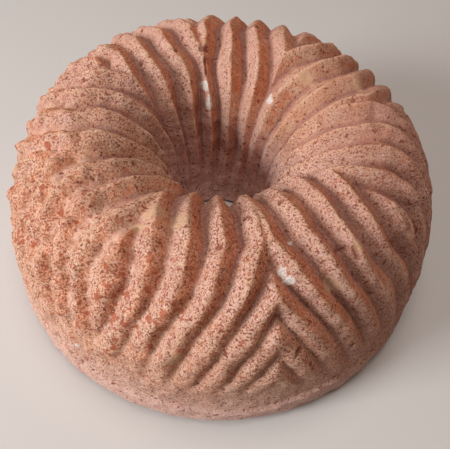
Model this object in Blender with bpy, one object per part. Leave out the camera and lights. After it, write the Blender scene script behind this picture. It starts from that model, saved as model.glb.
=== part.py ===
"""Bundt cake, a single solid ring of sponge baked in a fluted ring mould and turned out upside down.

Metres, +Z up. The origin is the middle of the hole on the surface that the cake stands on.

The section of the ring is one closed loop: up the outer wall, over the crest, down the hole and
back along the flat underside. Twenty flutes run up the hole and over the crest. Four of them split
outside the crest into nested chevrons, and halfway between those four the flutes open round nested
leaves, so that one quarter of the cake repeats four times and is its own mirror image.
"""
import bpy
import numpy as np

# Driving dimensions, metres
WIDTH = 0.2415
HEIGHT = 0.0995
CREST_RADIUS = 0.0720
WIDEST_AT = 0.0080
WALL_FULLNESS = 2.28
NECK_RADIUS = 0.0270
NECK_AT = 0.0460
FOOT_RADIUS = 0.0240
FOOT_ROUNDING = 0.0030
BASE_TUCK = 0.0055

# Flutes: their depth at the crest and at the foot of the hole, how sharp their ridges are (0 for a
# wave, 1 for a sharp fold), and where they fade out, as distances along the section from the crest,
# inwards below zero and outwards above
FLUTE_DEPTH = 0.0054
FOOT_FLUTE_DEPTH = 0.0010
FLUTE_SHARPNESS = 0.985
HOLE_FULL_DEPTH_AT = -0.0350
WALL_FULL_DEPTH_TO = 0.0540
WALL_SMOOTH_FROM = 0.0985

# Pattern: quarters, the turn of the first split flute, and how the count of flutes changes
QUARTERS = 4
FIRST_SPLIT_TURN = np.radians(-80.0)
FLUTES_TO_LEAF = 2.5
SPLIT_FROM = -0.0255
SPLIT_TO = -0.0055
SPLIT_SHARE = 0.16
CHEVRONS_FROM = 0.0040
CHEVRONS_PER_METRE = 35.5
CHEVRONS_GROWTH = 88.0
LEAF_FROM = -0.0450
LEAF_FULL_AT = 0.0370
LEAF_FLUTES = 1.69
LEAF_CLOSING_FROM = 0.0340
LEAF_CLOSING = 14.6

# How far the pattern strays round the ring, in degrees: the sizes of its slow waves
STRAY_SINE = -2.27
STRAY_COSINE = 0.49
STRAY_DOUBLE_SINE = -0.65
STRAY_DOUBLE_COSINE = -0.56

# The side that stuck to the mould: its turn, its distance from the crest, and what it lost
STUCK_TURN = np.radians(204.0)
STUCK_AT = 0.0450
STUCK_HALF_TURN = np.radians(40.0)
STUCK_HALF_LENGTH = 0.0340
STUCK_FLATTENING = 0.60
STUCK_LOSS = 0.0012

# Slump of the wall: how far it strays from round
SLUMP = 0.0005

# Mesh: a fine ring grid, then an even thinning
TURN_STEPS = 256
SECTION_STEPS = 160
TRIANGLES = 11400


def smooth_step(value, start, end):
    """Rises from 0 at start to 1 at end with no corner at either."""
    part = np.clip((value - start) / (end - start), 0.0, 1.0)
    return part * part * (3.0 - 2.0 * part)


def section_outline():
    """The closed loop of the section as radius, height and distance from the crest.

    The outer wall is a quarter of a superellipse, the hole's shoulder a quarter of an ellipse, the
    neck a straight taper, and both edges of the flat underside are rounded. The
    distance is counted the shorter way round, so below zero in the hole and above it on the wall.
    """
    half_width = WIDTH / 2
    quarter = np.linspace(0.0, np.pi / 2, 241)
    power = 2.0 / WALL_FULLNESS
    wall_r = CREST_RADIUS + (half_width - CREST_RADIUS) * np.cos(quarter) ** power
    wall_z = WIDEST_AT + (HEIGHT - WIDEST_AT) * np.sin(quarter) ** power
    shoulder_r = CREST_RADIUS - (CREST_RADIUS - NECK_RADIUS) * np.sin(quarter)
    shoulder_z = NECK_AT + (HEIGHT - NECK_AT) * np.cos(quarter)
    neck = np.linspace(0.0, 1.0, 61)
    neck_r = NECK_RADIUS + (FOOT_RADIUS - NECK_RADIUS) * neck
    neck_z = NECK_AT + (FOOT_ROUNDING - NECK_AT) * neck
    foot_r = FOOT_RADIUS + FOOT_ROUNDING * (1.0 - np.cos(quarter))
    foot_z = FOOT_ROUNDING * (1.0 - np.sin(quarter))
    under_r = np.linspace(FOOT_RADIUS + FOOT_ROUNDING, half_width - BASE_TUCK, 121)
    under_z = np.zeros_like(under_r)
    edge_r = half_width - BASE_TUCK * (1.0 - np.sin(quarter))
    edge_z = WIDEST_AT * (1.0 - np.cos(quarter))
    radius = np.concatenate([part[:-1] for part in (wall_r, shoulder_r, neck_r, foot_r, under_r, edge_r)])
    height = np.concatenate([part[:-1] for part in (wall_z, shoulder_z, neck_z, foot_z, under_z, edge_z)])
    radius = np.append(radius, radius[0])
    height = np.append(height, height[0])
    walked = np.concatenate([[0.0], np.cumsum(np.hypot(np.diff(radius), np.diff(height)))])
    from_crest = walked[len(wall_r) - 1] - walked
    from_crest = np.where(from_crest < -walked[-1] / 2, from_crest + walked[-1], from_crest)
    return radius, height, walked, from_crest


def section_rows(steps):
    """Evenly spaced rows round the loop: radius, height, distance from the crest, outward normal."""
    radius, height, walked, from_crest = section_outline()
    at = np.arange(steps) * walked[-1] / steps
    row_r = np.interp(at, walked, radius)
    row_z = np.interp(at, walked, height)
    along_r = np.roll(row_r, -1) - np.roll(row_r, 1)
    along_z = np.roll(row_z, -1) - np.roll(row_z, 1)
    length = np.hypot(along_r, along_z)
    return row_r, row_z, np.interp(at, walked, from_crest), along_z / length, -along_r / length


def stray(turn):
    """How far the pattern strays at this turn: one wave and two waves to the full circle."""
    ahead = turn - FIRST_SPLIT_TURN
    once = STRAY_SINE * np.sin(ahead) + STRAY_COSINE * (1.0 - np.cos(ahead))
    twice = STRAY_DOUBLE_SINE * np.sin(2 * ahead) + STRAY_DOUBLE_COSINE * np.cos(2 * ahead)
    return np.radians(once + twice)


def flute_number(turn, from_crest):
    """The running number of the flute at a place: whole on a ridge, half on a valley.

    Between a split flute and the middle of the next leaf the number grows evenly with the turn. At
    the split it falls as chevrons branch off, and in the leaf it rises and then falls back as the
    leaf opens and closes.
    """
    half_quarter = np.pi / QUARTERS
    even = turn - stray(turn) - FIRST_SPLIT_TURN
    folded = np.abs((even + half_quarter) % (2 * half_quarter) - half_quarter)
    below = np.maximum(from_crest - CHEVRONS_FROM, 0.0)
    closing = np.maximum(from_crest - LEAF_CLOSING_FROM, 0.0)
    at_split = -SPLIT_SHARE * smooth_step(from_crest, SPLIT_FROM, SPLIT_TO)
    at_split = at_split - CHEVRONS_PER_METRE * below - CHEVRONS_GROWTH * below ** 2
    at_leaf = FLUTES_TO_LEAF + LEAF_FLUTES * smooth_step(from_crest, LEAF_FROM, LEAF_FULL_AT)
    at_leaf = at_leaf - LEAF_CLOSING * closing
    return at_split + (at_leaf - at_split) * folded / half_quarter


def ridge_share(number):
    """1 on a ridge and 0 in a valley, with nearly straight flanks between rounded tops and floors."""
    return 0.5 + np.arcsin(FLUTE_SHARPNESS * np.cos(2 * np.pi * number)) / (2 * np.arcsin(FLUTE_SHARPNESS))


def stuck_share(turn, from_crest):
    """1 in the middle of the side that stuck to the mould, fading to 0 round it as a bell."""
    away = (turn - STUCK_TURN + np.pi) % (2 * np.pi) - np.pi
    return np.exp(-(away / STUCK_HALF_TURN) ** 2 - ((from_crest - STUCK_AT) / STUCK_HALF_LENGTH) ** 2)


def flute_depth(from_crest, height):
    """Depth of the valleys: shallow at the foot, full over the crest, gone low on the wall."""
    in_hole = smooth_step(height, FOOT_ROUNDING, NECK_AT + 0.02)
    depth = FOOT_FLUTE_DEPTH + (FLUTE_DEPTH - FOOT_FLUTE_DEPTH) * in_hole
    depth = np.where(from_crest > HOLE_FULL_DEPTH_AT, FLUTE_DEPTH, depth)
    depth = depth * (1.0 - smooth_step(from_crest, WALL_FULL_DEPTH_TO, WALL_SMOOTH_FROM))
    return np.where(height < FOOT_ROUNDING, 0.0, depth)


def crust_points(turn, row_r, row_z, from_crest, normal_r, normal_z):
    """Points of the crust: the section, drawn in along its normal by the flutes and the stuck side."""
    stuck = stuck_share(turn, from_crest)
    ridge = ridge_share(flute_number(turn, from_crest))
    depth = flute_depth(from_crest, row_z) * (1.0 - STUCK_FLATTENING * stuck)
    inwards = depth * (1.0 - ridge) + STUCK_LOSS * stuck
    wall = smooth_step(from_crest, 0.0, 0.03) * smooth_step(row_z, 0.0, WIDEST_AT)
    inwards = inwards + SLUMP * wall * (1.0 + np.sin(2 * turn + 0.7)) / 2
    radius = row_r - normal_r * inwards
    height = row_z - normal_z * inwards
    return np.stack([radius * np.cos(turn), radius * np.sin(turn), height], axis=-1)


def crust_material():
    """Matt browned crust."""
    material = bpy.data.materials.new("Browned crust")
    material.use_nodes = True
    shader = material.node_tree.nodes["Principled BSDF"]
    shader.inputs["Base Color"].default_value = (0.42, 0.20, 0.12, 1.0)
    shader.inputs["Roughness"].default_value = 0.85
    shader.inputs["Metallic"].default_value = 0.0
    return material


def make_cake(collection):
    """A torus whose rings of points are moved onto the crust, then thinned to fewer triangles."""
    bpy.ops.mesh.primitive_torus_add(major_segments=TURN_STEPS, minor_segments=SECTION_STEPS)
    cake = bpy.context.active_object
    cake.name = "cake"
    cake.data.name = "cake"
    order = np.arange(TURN_STEPS * SECTION_STEPS)
    turn = FIRST_SPLIT_TURN + 2 * np.pi * (order // SECTION_STEPS) / TURN_STEPS
    row = order % SECTION_STEPS
    rows = [values[row] for values in section_rows(SECTION_STEPS)]
    cake.data.vertices.foreach_set("co", crust_points(turn, *rows).ravel())
    cake.data.shade_smooth()
    cake.data.materials.append(crust_material())
    thinning = cake.modifiers.new("Thinning", "DECIMATE")
    thinning.ratio = TRIANGLES / (2 * len(order))
    thinning.use_collapse_triangulate = True
    for holder in list(cake.users_collection):
        holder.objects.unlink(cake)
    collection.objects.link(cake)
    return cake


for existing in list(bpy.data.objects):
    bpy.data.objects.remove(existing, do_unlink=True)

bundt_cake = bpy.data.collections.new("Bundt cake")
bpy.context.scene.collection.children.link(bundt_cake)
make_cake(bundt_cake)
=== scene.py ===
"""Bundt cake: the crust, the bits baked into it, and a plain pale table to see it on."""

import bpy
import numpy as np
from mathutils import Euler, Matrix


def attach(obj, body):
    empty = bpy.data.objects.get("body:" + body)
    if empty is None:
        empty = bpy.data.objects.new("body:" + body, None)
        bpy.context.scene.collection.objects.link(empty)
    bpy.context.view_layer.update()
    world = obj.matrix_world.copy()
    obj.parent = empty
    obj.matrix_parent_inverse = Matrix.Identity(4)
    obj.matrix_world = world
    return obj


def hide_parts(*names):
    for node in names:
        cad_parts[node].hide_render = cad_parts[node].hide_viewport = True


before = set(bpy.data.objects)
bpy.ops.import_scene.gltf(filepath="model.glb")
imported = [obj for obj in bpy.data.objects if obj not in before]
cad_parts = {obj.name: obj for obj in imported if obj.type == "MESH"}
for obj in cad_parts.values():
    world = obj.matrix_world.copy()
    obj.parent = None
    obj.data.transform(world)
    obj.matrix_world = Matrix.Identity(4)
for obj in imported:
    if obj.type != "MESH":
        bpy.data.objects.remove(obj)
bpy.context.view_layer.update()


# The cake
# A whole ring of sponge, baked in a fluted ring mould and turned out with its flutes up. Its crust is
# matt and fine-grained, with crumbs torn off where it stuck, and it stands on its flat underside.

WIDTH = 0.2415
HEIGHT = 0.0995
CREST_RADIUS = 0.0720
WIDEST_AT = 0.0080
WALL_FULLNESS = 2.28
NECK_RADIUS = 0.0270
NECK_AT = 0.0460
FOOT_RADIUS = 0.0240
FOOT_ROUNDING = 0.0030
BASE_TUCK = 0.0055
SLOPE_REACH = 0.0005

# Flutes: their depth over the crest and at the foot of the hole, how sharp their ridges are, and where
# they fade out. All places along the section are distances from the crest, below zero in the hole and
# above zero outside it. The flutes reach LOWER_REACH further down the wall on the side of LOWEST_TURN,
# and as much less far on the side across from it.
FLUTE_DEPTH = 0.0060
FOOT_FLUTE_DEPTH = 0.0010
FLUTE_SHARPNESS = 0.985
FULL_DEPTH_ABOVE_NECK = 0.02
HOLE_FULL_DEPTH_AT = -0.0350
WALL_FULL_DEPTH_TO = 0.0540
WALL_SMOOTH_FROM = 0.0900
LOWER_REACH = 0.0110
LOWEST_TURN = np.radians(-30.0)

# Pattern: quarters, the turn of the first split flute, and how the count of flutes changes
QUARTERS = 4
FIRST_SPLIT_TURN = np.radians(-80.0)
FLUTES_TO_LEAF = 2.5
SPLIT_FROM = -0.0255
SPLIT_TO = -0.0055
SPLIT_SHARE = 0.16
CHEVRONS_FROM = 0.0040
CHEVRONS_PER_METRE = 35.5
CHEVRONS_GROWTH = 88.0
LEAF_FROM = -0.0450
LEAF_FULL_AT = 0.0370
LEAF_FLUTES = 1.69
LEAF_CLOSING_FROM = 0.0340
LEAF_CLOSING = 14.6

# How far the pattern of the unevenly risen cake strays, in degrees: the sizes of its slow waves
STRAY_SINE = -2.27
STRAY_COSINE = 0.49
STRAY_DOUBLE_SINE = -0.65
STRAY_DOUBLE_COSINE = -0.56


def smooth_step(value, start, end):
    """Rises from 0 at start to 1 at end as 3 t squared minus 2 t cubed."""
    part = np.clip((value - start) / (end - start), 0.0, 1.0)
    return part * part * (3.0 - 2.0 * part)


def section_rows(steps, underside_share):
    """Rows round the section: radius, height, distance from the crest, outward normal.

    The outer wall is a quarter of a superellipse, the hole's shoulder a quarter of an ellipse, the
    neck a straight taper, and the flat underside has rounded edges. The distance is counted the
    shorter way round, so below zero in the hole and above it on the wall. Rows are evenly spaced
    over the crust and thin out to underside_share of that over the underside. The normal is square
    to the line between the places SLOPE_REACH before and after the row.
    """
    half_width = WIDTH / 2
    quarter = np.linspace(0.0, np.pi / 2, 241)
    power = 2.0 / WALL_FULLNESS
    neck = np.linspace(0.0, 1.0, 61)
    under = np.linspace(FOOT_RADIUS + FOOT_ROUNDING, half_width - BASE_TUCK, 121)
    lines = [
        (CREST_RADIUS + (half_width - CREST_RADIUS) * np.cos(quarter) ** power,
         WIDEST_AT + (HEIGHT - WIDEST_AT) * np.sin(quarter) ** power),
        (CREST_RADIUS - (CREST_RADIUS - NECK_RADIUS) * np.sin(quarter),
         NECK_AT + (HEIGHT - NECK_AT) * np.cos(quarter)),
        (NECK_RADIUS + (FOOT_RADIUS - NECK_RADIUS) * neck,
         NECK_AT + (FOOT_ROUNDING - NECK_AT) * neck),
        (FOOT_RADIUS + FOOT_ROUNDING * (1.0 - np.cos(quarter)),
         FOOT_ROUNDING * (1.0 - np.sin(quarter))),
        (under, np.zeros_like(under)),
        (half_width - BASE_TUCK * (1.0 - np.sin(quarter)),
         WIDEST_AT * (1.0 - np.cos(quarter))),
    ]
    radius = np.concatenate([line[0][:-1] for line in lines] + [lines[0][0][:1]])
    height = np.concatenate([line[1][:-1] for line in lines] + [lines[0][1][:1]])
    stretch = np.hypot(np.diff(radius), np.diff(height))
    walked = np.concatenate([[0.0], np.cumsum(stretch)])
    from_crest = walked[len(quarter) - 1] - walked
    from_crest = np.where(from_crest < -walked[-1] / 2, from_crest + walked[-1], from_crest)
    on_underside = (height[1:] + height[:-1]) / 2 < 1e-6
    weighed = np.concatenate([[0.0], np.cumsum(stretch * np.where(on_underside, underside_share, 1.0))])
    at = np.interp(np.arange(steps) * weighed[-1] / steps, weighed, walked)
    before = (at - SLOPE_REACH) % walked[-1]
    after = (at + SLOPE_REACH) % walked[-1]
    along_r = np.interp(after, walked, radius) - np.interp(before, walked, radius)
    along_z = np.interp(after, walked, height) - np.interp(before, walked, height)
    length = np.hypot(along_r, along_z)
    return (np.interp(at, walked, radius), np.interp(at, walked, height),
            np.interp(at, walked, from_crest), along_z / length, -along_r / length)


def stray(turn):
    """How far the pattern strays at this turn: one wave and two waves to the full circle."""
    ahead = turn - FIRST_SPLIT_TURN
    once = STRAY_SINE * np.sin(ahead) + STRAY_COSINE * (1.0 - np.cos(ahead))
    twice = STRAY_DOUBLE_SINE * np.sin(2 * ahead) + STRAY_DOUBLE_COSINE * np.cos(2 * ahead)
    return np.radians(once + twice)


def flute_number(turn, from_crest):
    """The running number of the flute: whole on a ridge, half in a valley.

    Between a split flute and the middle of the next leaf it grows evenly with the turn. Along the
    split it falls as chevrons branch off, and along the leaf it rises and falls as the leaf opens
    and closes.
    """
    half_quarter = np.pi / QUARTERS
    even = turn - stray(turn) - FIRST_SPLIT_TURN
    folded = np.abs((even + half_quarter) % (2 * half_quarter) - half_quarter)
    below = np.maximum(from_crest - CHEVRONS_FROM, 0.0)
    closing = np.maximum(from_crest - LEAF_CLOSING_FROM, 0.0)
    at_split = -SPLIT_SHARE * smooth_step(from_crest, SPLIT_FROM, SPLIT_TO)
    at_split = at_split - CHEVRONS_PER_METRE * below - CHEVRONS_GROWTH * below ** 2
    at_leaf = FLUTES_TO_LEAF + LEAF_FLUTES * smooth_step(from_crest, LEAF_FROM, LEAF_FULL_AT)
    at_leaf = at_leaf - LEAF_CLOSING * closing
    return at_split + (at_leaf - at_split) * folded / half_quarter


def flute_depth(turn, from_crest, height):
    """Depth of the valleys: shallow at the foot, full over the crest, gone low on the wall."""
    lower = LOWER_REACH * np.cos(turn - LOWEST_TURN)
    up_the_hole = smooth_step(height, FOOT_ROUNDING, NECK_AT + FULL_DEPTH_ABOVE_NECK)
    depth = FOOT_FLUTE_DEPTH + (FLUTE_DEPTH - FOOT_FLUTE_DEPTH) * up_the_hole
    depth = np.where(from_crest > HOLE_FULL_DEPTH_AT, FLUTE_DEPTH, depth)
    depth = depth * (1.0 - smooth_step(from_crest - lower, WALL_FULL_DEPTH_TO, WALL_SMOOTH_FROM))
    return np.where(height < FOOT_ROUNDING, 0.0, depth)


# The grid of the crust: one column for each turn and one row for each place along the section
TURNS = 500
ROWS = 196
UNDERSIDE_SHARE = 0.12

turn = FIRST_SPLIT_TURN + 2 * np.pi * np.arange(TURNS)[:, None] / TURNS
rows = section_rows(ROWS, UNDERSIDE_SHARE)
row_r, row_z, from_crest, normal_r, normal_z = [line[None, :] for line in rows]
plain = np.stack(np.broadcast_arrays(row_r * np.cos(turn), row_r * np.sin(turn), row_z), axis=-1)


def unevenness(points, size, seed, waves=36):
    """Smooth noise in space with features about size across, mean 0 and spread 1.

    The sum of plane waves: cosines of each point times a random direction over size, plus a random
    phase, divided by the square root of half their number.
    """
    draw = np.random.default_rng(seed)
    direction = draw.normal(size=(3, waves))
    direction = direction / np.linalg.norm(direction, axis=0) * draw.uniform(0.6, 1.4, waves)
    phase = draw.uniform(0.0, 2 * np.pi, waves)
    angle = points @ (direction * (np.pi / size)) + phase
    return np.cos(angle).sum(axis=-1) / np.sqrt(waves / 2)


def turn_from(middle):
    """The angle from middle to each turn of the grid, the shorter way round."""
    return (turn - middle + np.pi) % (2 * np.pi) - np.pi


def one_side(middle, half_turn):
    """1 at middle and less to both sides: e to the minus square of the angle over half_turn."""
    return np.exp(-(turn_from(middle) / half_turn) ** 2)


RAGGEDNESS = 0.20
RAGGED_SIZE = 0.0035
BLOTCH_EDGE = (0.70, 1.20)


def blotch(marks, seed):
    """1 inside any of the marks and 0 outside them, with ragged soft edges.

    Each mark is an ellipse on the crust: its turn in degrees, its distance from the crest, its half
    width round the ring and its half length along the section.
    """
    ragged = RAGGEDNESS * unevenness(plain, RAGGED_SIZE, seed)
    share = np.zeros((TURNS, ROWS))
    for mark_turn, mark_at, half_width, half_length in marks:
        aside = turn_from(np.radians(mark_turn)) * row_r
        reach = np.hypot(aside / half_width, (from_crest - mark_at) / half_length) + ragged
        share = np.maximum(share, 1.0 - smooth_step(reach, *BLOTCH_EDGE))
    return share


white_bits = blotch([(-78, 0.0195, 0.0022, 0.0030), (-76.5, 0.0240, 0.0032, 0.0026),
                     (49, -0.0390, 0.0032, 0.0032), (102, -0.0370, 0.0022, 0.0038),
                     (101, -0.0465, 0.0018, 0.0042), (-173, -0.0080, 0.0016, 0.0016),
                     (-128, 0.0850, 0.0014, 0.0014), (-73, 0.0060, 0.0014, 0.0016)], seed=11)
cream_bits = blotch([(-119, -0.0040, 0.0046, 0.0050), (-110, -0.0040, 0.0042, 0.0046),
                     (-121, 0.0050, 0.0030, 0.0034), (36, -0.0170, 0.0046, 0.0040),
                     (-66, 0.0330, 0.0040, 0.0044), (-55, 0.0200, 0.0036, 0.0030),
                     (20, 0.0050, 0.0040, 0.0034), (-103, 0.0620, 0.0036, 0.0050),
                     (-140, 0.0500, 0.0040, 0.0036)], seed=12)
bubbles = blotch([(100, -0.0160, 0.0028, 0.0026), (75, 0.0060, 0.0024, 0.0022),
                  (115, -0.0130, 0.0016, 0.0016), (135, -0.0110, 0.0014, 0.0014),
                  (148, -0.0180, 0.0016, 0.0014), (157, -0.0230, 0.0014, 0.0014),
                  (-68, -0.0160, 0.0014, 0.0014), (-85, -0.0110, 0.0016, 0.0014),
                  (-95, 0.0060, 0.0014, 0.0016), (-148, 0.0000, 0.0015, 0.0013),
                  (-116, 0.0480, 0.0014, 0.0016), (9, -0.0050, 0.0018, 0.0016),
                  (-149, -0.0230, 0.0014, 0.0014), (-60, 0.0190, 0.0024, 0.0008),
                  (-57, 0.0230, 0.0007, 0.0026), (100, -0.0260, 0.0008, 0.0060),
                  (-76, 0.0600, 0.0013, 0.0013), (-98, 0.0800, 0.0014, 0.0013),
                  (-62, 0.0700, 0.0013, 0.0015)], seed=13)

# The sides of the cake that differ: the side that stuck to the mould and lost crumbs, the crumbly side
# next to it, and the front, where the valleys are softer low down and a pale lip shows at the foot
STUCK_TURN = np.radians(210.0)
STUCK_AT = 0.045
STUCK_HALF_TURN = np.radians(42.0)
STUCK_HALF_LENGTH = 0.036
CRUMBLY_TURN = np.radians(165.0)
CRUMBLY_HALF_TURN = np.radians(62.0)
CRUMBLY_BEGINS = (-0.015, 0.025)
CRUMBLY_ENDS = (0.080, 0.105)
FRONT_TURN = np.radians(-82.0)
FRONT_HALF_TURN = np.radians(34.0)

stuck_along = (from_crest - STUCK_AT) / STUCK_HALF_LENGTH
stuck = np.exp(-(turn_from(STUCK_TURN) / STUCK_HALF_TURN) ** 2 - stuck_along ** 2)
crumbly = one_side(CRUMBLY_TURN, CRUMBLY_HALF_TURN) * smooth_step(from_crest, *CRUMBLY_BEGINS)
crumbly = crumbly * (1.0 - smooth_step(from_crest, *CRUMBLY_ENDS))
at_front = one_side(FRONT_TURN, FRONT_HALF_TURN)

# Ridges: a folded wave whose folds are slightly rounded, plumper low on the wall
RIDGE_SWAY = 0.055
RIDGE_SWAY_SIZE = 0.026
PLUMPNESS_OVER_CREST = 1.20
PLUMPNESS_GAINED_BELOW = 1.00
PLUMPER_OVER = (0.010, 0.065)

number = flute_number(turn, from_crest) + RIDGE_SWAY * unevenness(plain, RIDGE_SWAY_SIZE, seed=3)
fold = np.arcsin(FLUTE_SHARPNESS * np.cos(2 * np.pi * number))
ridge = 0.5 + fold / (2 * np.arcsin(FLUTE_SHARPNESS))
plumpness = PLUMPNESS_OVER_CREST + PLUMPNESS_GAINED_BELOW * smooth_step(from_crest, *PLUMPER_OVER)
ridge = 1.0 - (1.0 - ridge) ** plumpness

# Valleys: shallower on the stuck side and low on the front, and uneven elsewhere
STUCK_FLATTENING = 0.55
FRONT_FLATTENING = 0.40
FRONT_FLATTER_OVER = (0.028, 0.062)
DEPTH_UNEVENNESS = 0.15
DEPTH_UNEVENNESS_SIZE = 0.022

depth = flute_depth(turn, from_crest, row_z) * (1.0 - STUCK_FLATTENING * stuck)
depth = depth * (1.0 - FRONT_FLATTENING * at_front * smooth_step(from_crest, *FRONT_FLATTER_OVER))
depth = depth * (1.0 + DEPTH_UNEVENNESS * unevenness(plain, DEPTH_UNEVENNESS_SIZE, seed=4))
relief = np.clip(depth / FLUTE_DEPTH, 0.0, 1.0)

# Lip: the wall is drawn in above it, most of all at the front
LIP_AT = 0.1040
LIP_STRAY = 0.0022
LIP_STRAY_SIZE = 0.040
LIP_STEP = 0.0008
FRONT_LIP_STEP = 0.0012
DRAWN_IN_OVER = (0.070, 0.100)
LIP_EDGE_OVER = (0.0, 0.0025)
LIP_COLOUR_OVER = (-0.0005, 0.0020)

lip_edge = LIP_AT + LIP_STRAY * unevenness(plain * [1.0, 1.0, 0.0], LIP_STRAY_SIZE, seed=14)
above_lip = smooth_step(from_crest, *DRAWN_IN_OVER)
above_lip = above_lip * (1.0 - smooth_step(from_crest - lip_edge, *LIP_EDGE_OVER))
lip = at_front * smooth_step(from_crest - lip_edge, *LIP_COLOUR_OVER)

# Surface: coarse and fine roughness, crumbs torn off, bubbles sunk in and bits standing proud
STUCK_LOSS = 0.0012
SLUMP = 0.0005
SLUMP_OVER = (0.0, 0.03)
SLUMP_PHASE = 0.7
COARSE_ROUGHNESS = 0.00024
COARSE_SIZE = 0.0080
FINE_ROUGHNESS = 0.00014
FINE_SIZE = 0.0034
ROUGHNESS_SUNK_BY = 1.2
ROUGHER_WHERE_STUCK = 2.2
ROUGHER_WHERE_CRUMBLY = 1.8
TORN_SIZE = 0.0065
TORN_THRESHOLD = 0.8
TORN_DEPTH = 0.00025
TORN_DEEPER_WHERE_STUCK = 0.0010
TORN_DEEPER_WHERE_CRUMBLY = 0.0007
BUBBLE_DEPTH = 0.0016
WHITE_BIT_HEIGHT = 0.0007
CREAM_BIT_HEIGHT = 0.0002

crust = smooth_step(row_z, 0.0, WIDEST_AT)
rough = crust * (1.0 + ROUGHER_WHERE_STUCK * stuck + ROUGHER_WHERE_CRUMBLY * crumbly)
torn = np.clip(unevenness(plain, TORN_SIZE, seed=7) - TORN_THRESHOLD, 0.0, 1.0)
torn_depth = TORN_DEPTH + TORN_DEEPER_WHERE_STUCK * stuck + TORN_DEEPER_WHERE_CRUMBLY * crumbly
slumped = smooth_step(from_crest, *SLUMP_OVER) * crust * (1.0 + np.sin(2 * turn + SLUMP_PHASE)) / 2

inwards = depth * (1.0 - ridge) + STUCK_LOSS * stuck
inwards = inwards + SLUMP * slumped
inwards = inwards + (LIP_STEP + FRONT_LIP_STEP * at_front) * above_lip
coarse = unevenness(plain, COARSE_SIZE, seed=5) + ROUGHNESS_SUNK_BY
fine = unevenness(plain, FINE_SIZE, seed=6) + ROUGHNESS_SUNK_BY
inwards = inwards + rough * COARSE_ROUGHNESS * coarse
inwards = inwards + rough * FINE_ROUGHNESS * fine
inwards = inwards + crust * torn * torn_depth
inwards = inwards + BUBBLE_DEPTH * bubbles - WHITE_BIT_HEIGHT * white_bits - CREAM_BIT_HEIGHT * cream_bits
inwards = np.maximum(inwards, 0.0)
radius = row_r - normal_r * inwards
height = np.maximum(row_z - normal_z * inwards, 0.0)
points = np.stack(np.broadcast_arrays(radius * np.cos(turn), radius * np.sin(turn), height), axis=-1)

# Colour, by side: flanks that face away from the light, towards the first turn below, are browner,
# partly from real browning and partly as painted shade. The crust is grainiest round GRAINIEST_TURN,
# and round the third turn below, on the side of the cake away from the light, it is darker with painted
# shade. The number of the flute grows by across for each metre round the ring and by along for each
# metre of the section. Just past a ridge the crust falls away the way that the number grows, and just
# before it the other way.
BROWNED_AND_SHADED_TURN = np.radians(18.0)
GRAINIEST_TURN = np.radians(-125.0)
GRAIN_MEAN = 0.76
GRAIN_SIDE = 0.24
GRAIN_UNEVENNESS = 0.12
GRAIN_UNEVENNESS_SIZE = 0.045
# Painted shade: the side of the cake away from the light is darker, more so low on the wall
SHADE_TURN = np.radians(-8.0)
SHADE_HALF_TURN = np.radians(52.0)
SHADE_BEGINS = (-0.045, 0.020)
SHADE_STRENGTH = 0.62
SHADE_GAINED_BELOW = 0.25
DEEPER_SHADE_OVER = (0.035, 0.075)
TURN_STEP = 0.02
LENGTH_STEP = 0.001

across = flute_number(turn + TURN_STEP, from_crest) - flute_number(turn - TURN_STEP, from_crest)
across = across / (2 * TURN_STEP * row_r)
along = flute_number(turn, from_crest + LENGTH_STEP) - flute_number(turn, from_crest - LENGTH_STEP)
along = along / (2 * LENGTH_STEP)
facing = across * np.sin(BROWNED_AND_SHADED_TURN - turn) + along * normal_z * np.cos(BROWNED_AND_SHADED_TURN - turn)
flank = np.sin(2 * np.pi * number) * facing / np.hypot(across, along)
grainy = GRAIN_MEAN + GRAIN_SIDE * np.cos(turn - GRAINIEST_TURN)
grainy = grainy + GRAIN_UNEVENNESS * unevenness(plain, GRAIN_UNEVENNESS_SIZE, seed=16)
# Painted shade on the side of the cake away from the light
painted_shade = SHADE_STRENGTH + SHADE_GAINED_BELOW * smooth_step(from_crest, *DEEPER_SHADE_OVER)
painted_shade = painted_shade * one_side(SHADE_TURN, SHADE_HALF_TURN) * smooth_step(from_crest, *SHADE_BEGINS)
torn_colour = torn * (0.2 + stuck + 0.5 * crumbly)

column, row = np.meshgrid(np.arange(TURNS), np.arange(ROWS), indexing="ij")
next_column = (column + 1) % TURNS
next_row = (row + 1) % ROWS
faces = np.stack([column * ROWS + row, next_column * ROWS + row,
                  next_column * ROWS + next_row, column * ROWS + next_row], axis=-1).reshape(-1, 4)
cake_mesh = bpy.data.meshes.new("cake_crust")
cake_mesh.from_pydata(points.reshape(-1, 3), [], faces)
cake_mesh.shade_smooth()
for name, values in (("ridge", ridge), ("flank", flank), ("relief", relief), ("stuck", stuck),
                     ("from_crest", from_crest), ("white_bits", white_bits), ("cream_bits", cream_bits),
                     ("bubbles", bubbles), ("grainy", grainy), ("painted_shade", painted_shade), ("lip", lip),
                     ("torn", torn_colour)):
    layer = cake_mesh.attributes.new(name, "FLOAT", "POINT")
    layer.data.foreach_set("value", np.broadcast_to(values, (TURNS, ROWS)).astype(np.float32).ravel())
cake = bpy.data.objects.new("cake_crust", cake_mesh)
bpy.context.scene.collection.objects.link(cake)

crust_material = bpy.data.materials.new("browned_crust")
crust_material.use_nodes = True
nodes = crust_material.node_tree.nodes
links = crust_material.node_tree.links
shader = nodes["Principled BSDF"]
shader.inputs["Roughness"].default_value = 0.85
shader.inputs["Specular IOR Level"].default_value = 0.25
object_place = nodes.new("ShaderNodeTexCoord").outputs["Object"]


def attribute(name):
    """A value that was worked out for each point of the mesh."""
    node = nodes.new("ShaderNodeAttribute")
    node.attribute_name = name
    return node.outputs["Fac"]


def noise(scale, detail, roughness=0.6):
    """Fractal noise on the object's own coordinates; scale is features per metre."""
    node = nodes.new("ShaderNodeTexNoise")
    node.inputs["Scale"].default_value = scale
    node.inputs["Detail"].default_value = detail
    node.inputs["Roughness"].default_value = roughness
    links.new(object_place, node.inputs["Vector"])
    return node.outputs["Fac"]


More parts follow.
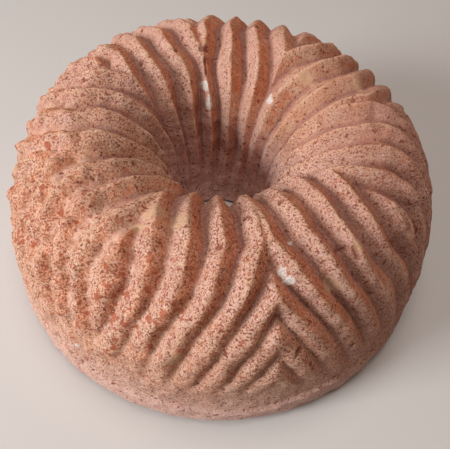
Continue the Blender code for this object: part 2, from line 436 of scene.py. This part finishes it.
def between(value, low, high, out_low=0.0, out_high=1.0):
    """Smooth rise from out_low to out_high as value goes from low to high."""
    node = nodes.new("ShaderNodeMapRange")
    node.interpolation_type = "SMOOTHSTEP"
    node.inputs["From Min"].default_value = low
    node.inputs["From Max"].default_value = high
    node.inputs["To Min"].default_value = out_low
    node.inputs["To Max"].default_value = out_high
    links.new(value, node.inputs["Value"])
    return node.outputs["Result"]


def arithmetic(operation, first, second):
    """One sum, product or the like of two values, either of which may be a plain number."""
    node = nodes.new("ShaderNodeMath")
    node.operation = operation
    for socket, value in zip(node.inputs, (first, second)):
        if isinstance(value, (int, float)):
            socket.default_value = value
        else:
            links.new(value, socket)
    return node.outputs["Value"]


def product(first, *others):
    """All the values multiplied, one after the other."""
    for other in others:
        first = arithmetic("MULTIPLY", first, other)
    return first


def blend(share, first, second):
    """Colour between first and second by share; a colour is three numbers or another node's."""
    node = nodes.new("ShaderNodeMix")
    node.data_type = "RGBA"
    links.new(share, node.inputs["Factor"])
    for socket, colour in ((node.inputs[6], first), (node.inputs[7], second)):
        if isinstance(colour, tuple):
            socket.default_value = (*colour, 1.0)
        else:
            links.new(colour, socket)
    return node.outputs[2]


def spots(scale, share):
    """1 in small round spots with ragged edges, one in the middle of some of a random set of cells.

    The distance to the nearest of scale random points per metre, less than a limit that varies from
    cell to cell so that only about that share of the cells has a spot.
    """
    cells = nodes.new("ShaderNodeTexVoronoi")
    cells.inputs["Scale"].default_value = scale
    ragged = nodes.new("ShaderNodeTexNoise")
    ragged.inputs["Scale"].default_value = 700.0
    links.new(object_place, ragged.inputs["Vector"])
    shift = nodes.new("ShaderNodeVectorMath")
    shift.operation = "MULTIPLY_ADD"
    links.new(ragged.outputs["Color"], shift.inputs[0])
    shift.inputs[1].default_value = (0.0030, 0.0030, 0.0030)
    links.new(object_place, shift.inputs[2])
    links.new(shift.outputs["Vector"], cells.inputs["Vector"])
    pick = nodes.new("ShaderNodeSeparateColor")
    links.new(cells.outputs["Color"], pick.inputs["Color"])
    limit = between(pick.outputs["Red"], 1.0 - share, 1.0, 0.0, 0.42)
    return between(arithmetic("SUBTRACT", limit, cells.outputs["Distance"]), 0.0, 0.06)


TAN = (0.525, 0.315, 0.208)
WARM_TAN = (0.48, 0.245, 0.150)
CREST_HIGHLIGHT_TAN = (0.66, 0.415, 0.290)
ORANGE_BROWN = (0.48, 0.128, 0.048)
RUSSET = (0.55, 0.195, 0.092)
VALLEY_SHADE_PINK = (0.235, 0.100, 0.090)
RUSSET_GRAIN = (0.33, 0.105, 0.050)
TORN_CRUMB = (0.44, 0.200, 0.112)
PAINTED_SHADE_CRUST = (0.240, 0.090, 0.062)
CARAMEL = (0.30, 0.066, 0.026)
LILAC_AND_LIGHT = (0.460, 0.280, 0.228)
PALE_PINK = (0.62, 0.420, 0.365)
HOLE_PALE_AND_LIT = (0.75, 0.485, 0.420)
DARK_SPECK = (0.165, 0.042, 0.024)
CREAM_CRUMB = (0.64, 0.50, 0.34)
PINK_CRUMB = (0.64, 0.50, 0.45)
WHITE = (0.60, 0.575, 0.54)
CREAM = (0.48, 0.31, 0.185)

ridge_here = attribute("ridge")
relief_here = attribute("relief")
stuck_here = attribute("stuck")
from_crest_here = attribute("from_crest")
flank_here = attribute("flank")
painted_shade_here = attribute("painted_shade")
white_bits_here = attribute("white_bits")

# Plain crust in two tans, and paler lilac flanks on the side away from the browned one, which faces
# the light: partly the crust's own colour and partly painted light
colour = blend(between(noise(75.0, 3.0), 0.38, 0.62), TAN, WARM_TAN)
lit_and_pale_flanks = product(between(flank_here, 0.00, -0.60), relief_here)
colour = blend(product(lit_and_pale_flanks, 0.70), colour, LILAC_AND_LIGHT)

# Pale foot of the wall, lip and depth of the hole; the depth of the hole is paler partly from its own
# crust and partly as painted light where little light reaches in
foot_of_wall = between(from_crest_here, 0.070, 0.112)
# The pale foot is left out where the side away from the light has painted shade
colour = blend(product(foot_of_wall, between(painted_shade_here, 0.0, 0.40, 0.60, 0.05)), colour, PALE_PINK)
colour = blend(product(attribute("lip"), 0.70), colour, PALE_PINK)
deep_in = between(from_crest_here, -0.046, -0.078)
colour = blend(product(deep_in, 0.90), colour, HOLE_PALE_AND_LIT)

# Browned flanks on the side away from the light, partly real browning and partly painted shade, in
# patches of orange brown and russet
browned_and_shaded = between(arithmetic("ADD", flank_here, noise(300.0, 2.0)), 0.62, 1.00)
browned_and_shaded = product(browned_and_shaded, relief_here, between(noise(120.0, 3.0), 0.28, 0.50, 0.45, 1.0))
browned_and_shaded_colour = blend(between(noise(230.0, 3.0), 0.40, 0.62), ORANGE_BROWN, RUSSET)
colour = blend(product(browned_and_shaded, 0.86), colour, browned_and_shaded_colour)

# Valleys: painted shade in dusky pink in general, and pale where the crust stuck
valley = product(between(ridge_here, 0.34, 0.06), relief_here)
colour = blend(product(valley, between(stuck_here, 0.4, 0.0, 0.0, 0.72)), colour, VALLEY_SHADE_PINK)
colour = blend(product(valley, between(stuck_here, 0.1, 0.5, 0.0, 0.60)), colour, PALE_PINK)

# Painted shade on the side of the cake away from the light, then a painted highlight: a pale line
# along the top of each ridge
painted_shade_patches = between(noise(110.0, 3.0), 0.30, 0.60, 0.55, 1.0)
colour = blend(product(painted_shade_here, painted_shade_patches), colour, PAINTED_SHADE_CRUST)
# Painted highlight: a pale tan line along the top of each ridge
crest_highlight = product(between(ridge_here, 0.93, 0.995, 0.0, 0.55), relief_here)
crest_highlight = product(crest_highlight, between(noise(95.0, 2.0), 0.38, 0.62, 0.1, 1.0))
colour = blend(crest_highlight, colour, CREST_HIGHLIGHT_TAN)

# How busy the grain is: less in valleys, at the foot of the wall and on the browned flanks that carry
# painted shade
busy = product(between(ridge_here, 0.05, 0.55, 0.50, 1.0),
               between(from_crest_here, 0.116, 0.096, 0.35, 1.0),
               between(browned_and_shaded, 0.2, 1.0, 1.0, 0.85), attribute("grainy"))

# Russet patches in clusters, torn crumb, and russet grain
patches = between(noise(310.0, 2.0), 0.55, 0.64)
clusters = between(noise(60.0, 2.0), 0.42, 0.60, 0.15, 1.0)
clusters = arithmetic("ADD", clusters, product(stuck_here, 0.7))
colour = blend(product(patches, clusters, busy, 0.75), colour, RUSSET_GRAIN)
colour = blend(product(attribute("torn"), 0.60), colour, TORN_CRUMB)
russet_grain = product(between(noise(640.0, 2.0), 0.53, 0.61), between(stuck_here, 0.0, 0.5, 0.30, 0.70))
colour = blend(product(russet_grain, busy), colour, RUSSET_GRAIN)

# Fine dark specks, pale crumbs and pores
grain = noise(1150.0, 2.5, 0.65)
colour = blend(product(between(grain, 0.470, 0.390), busy, 0.88), colour, DARK_SPECK)
crumb_colour = blend(between(noise(330.0, 1.0), 0.42, 0.56), CREAM_CRUMB, PINK_CRUMB)
colour = blend(product(between(grain, 0.53, 0.63), busy, 0.40), colour, crumb_colour)
colour = blend(product(between(noise(520.0, 1.0), 0.375, 0.31), 0.85), colour, DARK_SPECK)

# Caramel spots, mostly where the crust stuck
caramel = arithmetic("MAXIMUM", spots(180.0, 0.45), spots(290.0, 0.40))
caramel = product(caramel, between(stuck_here, 0.0, 0.4, 0.15, 1.0))
colour = blend(product(caramel, 0.80), colour, CARAMEL)

# Bits, and bubbles painted dark as painted shade in their pits; the white bits with a browned rim and a
# crumbly edge
colour = blend(product(attribute("cream_bits"), 0.62), colour, CREAM)
colour = blend(product(attribute("bubbles"), 0.85), colour, DARK_SPECK)
rim = between(arithmetic("ADD", white_bits_here, noise(600.0, 2.0)), 0.58, 0.85, 0.0, 0.55)
colour = blend(rim, colour, TORN_CRUMB)
crumbly_edge = product(noise(850.0, 2.0), 2.0)
white_share = between(arithmetic("ADD", white_bits_here, crumbly_edge), 1.35, 2.15, 0.0, 0.90)
colour = blend(white_share, colour, WHITE)
links.new(colour, shader.inputs["Base Color"])

bump = nodes.new("ShaderNodeBump")
bump.inputs["Strength"].default_value = 0.8
bump.inputs["Distance"].default_value = 0.0005
grain_height = arithmetic("ADD", product(grain, 0.6), noise(420.0, 3.0))
links.new(grain_height, bump.inputs["Height"])
links.new(bump.outputs["Normal"], shader.inputs["Normal"])
cake_mesh.materials.append(crust_material)
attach(cake, "root")
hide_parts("cake")


# The table
# A plain pale sheet, matt and flat, which is there only for staging. It is far larger than the cake,
# which stands on it with nothing between.

HALF_TABLE = 3
PALE_TABLE = (0.52, 0.51, 0.49, 1.0)

table_corners = [(-HALF_TABLE, -HALF_TABLE, 0), (HALF_TABLE, -HALF_TABLE, 0),
                 (HALF_TABLE, HALF_TABLE, 0), (-HALF_TABLE, HALF_TABLE, 0)]
table_mesh = bpy.data.meshes.new("table")
table_mesh.from_pydata(table_corners, [], [(0, 1, 2, 3)])
table = bpy.data.objects.new("table", table_mesh)
bpy.context.scene.collection.objects.link(table)
table_material = bpy.data.materials.new("pale_table")
table_material.use_nodes = True
table_shader = table_material.node_tree.nodes["Principled BSDF"]
table_shader.inputs["Base Color"].default_value = PALE_TABLE
table_shader.inputs["Roughness"].default_value = 0.8
table_mesh.materials.append(table_material)


# The light
# A soft source on the left and a little in front, a weaker and wider one straight overhead, and a
# faint warm glow all round, as from the walls of a room.

LIT_PLACE = (0.0, 0.0, 0.05)


def soft_light(name, place, size, power, colour):
    """A square area light at place that faces LIT_PLACE."""
    data = bpy.data.lights.new(name, "AREA")
    data.shape = "SQUARE"
    data.size = size
    data.energy = power
    data.color = colour
    light = bpy.data.objects.new(name, data)
    light.location = place
    direction = np.subtract(LIT_PLACE, place)
    heading = np.arctan2(direction[1], direction[0])
    drop = np.arctan2(np.hypot(direction[0], direction[1]), -direction[2])
    light.rotation_euler = (drop, 0.0, heading - np.pi / 2)
    bpy.context.scene.collection.objects.link(light)


soft_light("window", (-1.17, -0.47, 0.59), 0.50, 22.5, (0.98, 0.98, 1.0))
soft_light("ceiling", (0.00, 0.05, 1.30), 0.60, 9.0, (1.0, 0.93, 0.89))
world = bpy.data.worlds.new("room")
world.use_nodes = True
glow = world.node_tree.nodes["Background"]
glow.inputs["Color"].default_value = (1.0, 0.67, 0.55, 1.0)
glow.inputs["Strength"].default_value = 0.170
bpy.context.scene.world = world
bpy.context.scene.view_settings.view_transform = "Standard"


# The camera
# Held a third of a metre from the middle of the cake and above its front edge, looking down into the
# hole and tilted a little to one side.

camera_data = bpy.data.cameras.new("camera")
camera_data.sensor_width = 36.0
camera_data.lens = 41.36
camera_data.clip_start = 0.01
camera = bpy.data.objects.new("camera", camera_data)
camera.location = (-0.01862, -0.19281, 0.27017)
camera.rotation_euler = Euler((np.radians(36.21), np.radians(-2.744), np.radians(-2.867)), "XYZ")
bpy.context.scene.collection.objects.link(camera)
bpy.context.scene.camera = camera
